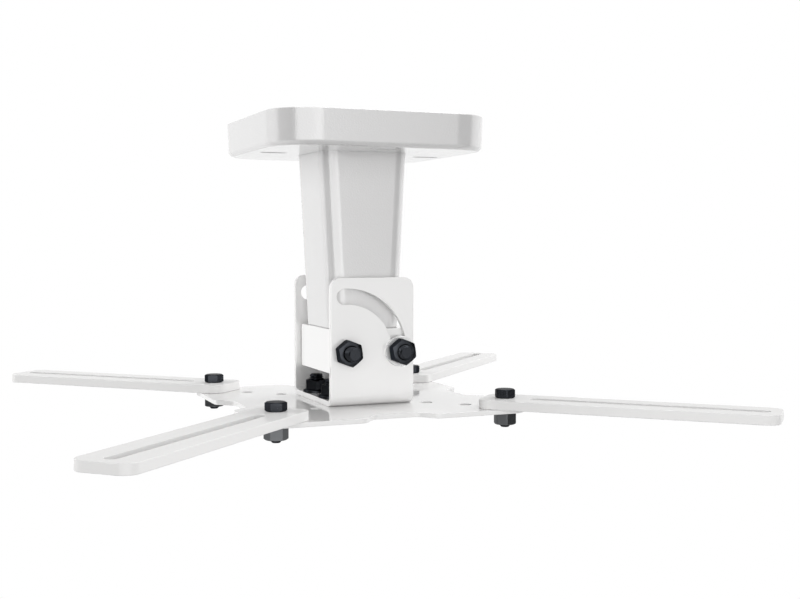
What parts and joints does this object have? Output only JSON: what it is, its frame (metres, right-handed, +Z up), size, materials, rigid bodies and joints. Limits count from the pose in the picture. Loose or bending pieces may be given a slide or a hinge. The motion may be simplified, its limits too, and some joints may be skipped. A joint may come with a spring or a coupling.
{
  "type": "projector ceiling mount",
  "caption": "Short white ceiling mount for a projector: a square canopy and a tapered column carry a tilting yoke and a spider plate with slotted swinging arms.",
  "frame": {"origin": "centre of the canopy's face on the ceiling", "axes": "+Z up into the ceiling, +X to the right and -Y towards the viewer, with the tilt axis along Y"},
  "size_m": [0.3498, 0.3498, 0.1695],
  "materials": {
    "textured_white": "fine textured powder coat",
    "gloss_white": "smooth gloss powder coat",
    "black_steel": "black oxide, satin",
    "zinc": "bright zinc, satin"
  },
  "bodies": {
    "ceiling_bracket": {"ceiling_canopy": "textured_white", "column": "textured_white", "column_foot": "gloss_white", "tilt_pivot_bolt": "black_steel", "tilt_pivot_nut": "black_steel", "tilt_lock_bolt": "black_steel", "tilt_lock_nut": "black_steel", "tilt_lock_washer_front": "zinc", "tilt_lock_washer_back": "zinc"},
    "tilting_head": {"tilt_yoke": "gloss_white", "spider_plate": "gloss_white", "yoke_bolt_1": "black_steel", "yoke_bolt_2": "black_steel", "yoke_bolt_3": "black_steel", "yoke_bolt_4": "black_steel", "yoke_flange_nut_1": "black_steel", "yoke_flange_nut_2": "black_steel", "yoke_flange_nut_3": "black_steel", "yoke_flange_nut_4": "black_steel", "arm_bolt_front_left": "black_steel", "arm_bolt_back_left": "black_steel", "arm_bolt_front_right": "black_steel", "arm_bolt_back_right": "black_steel", "arm_nut_front_left": "black_steel", "arm_nut_back_left": "black_steel", "arm_nut_front_right": "black_steel", "arm_nut_back_right": "black_steel"},
    "arm_front_left": {"arm_front_left": "gloss_white"},
    "arm_back_left": {"arm_back_left": "gloss_white"},
    "arm_front_right": {"arm_front_right": "gloss_white"},
    "arm_back_right": {"arm_back_right": "gloss_white"}
  },
  "joints": [
    {"name": "tilt", "type": "hinge", "parent": "ceiling_bracket", "child": "tilting_head", "pos_m": [-0.0148, 0, -0.129], "axis": [0, 1, 0], "range_deg": [0, 90]},
    {"name": "swing_front_left", "type": "hinge", "parent": "tilting_head", "child": "arm_front_left", "pos_m": [-0.065, -0.065, -0.156], "axis": [0, 0, 1], "range_deg": [-30, 60]},
    {"name": "swing_back_left", "type": "hinge", "parent": "tilting_head", "child": "arm_back_left", "pos_m": [-0.065, 0.065, -0.156], "axis": [0, 0, 1], "range_deg": [-60, 30]},
    {"name": "swing_front_right", "type": "hinge", "parent": "tilting_head", "child": "arm_front_right", "pos_m": [0.065, -0.065, -0.156], "axis": [0, 0, 1], "range_deg": [-60, 60]},
    {"name": "swing_back_right", "type": "hinge", "parent": "tilting_head", "child": "arm_back_right", "pos_m": [0.065, 0.065, -0.156], "axis": [0, 0, 1], "range_deg": [-60, 60]}
  ]
}
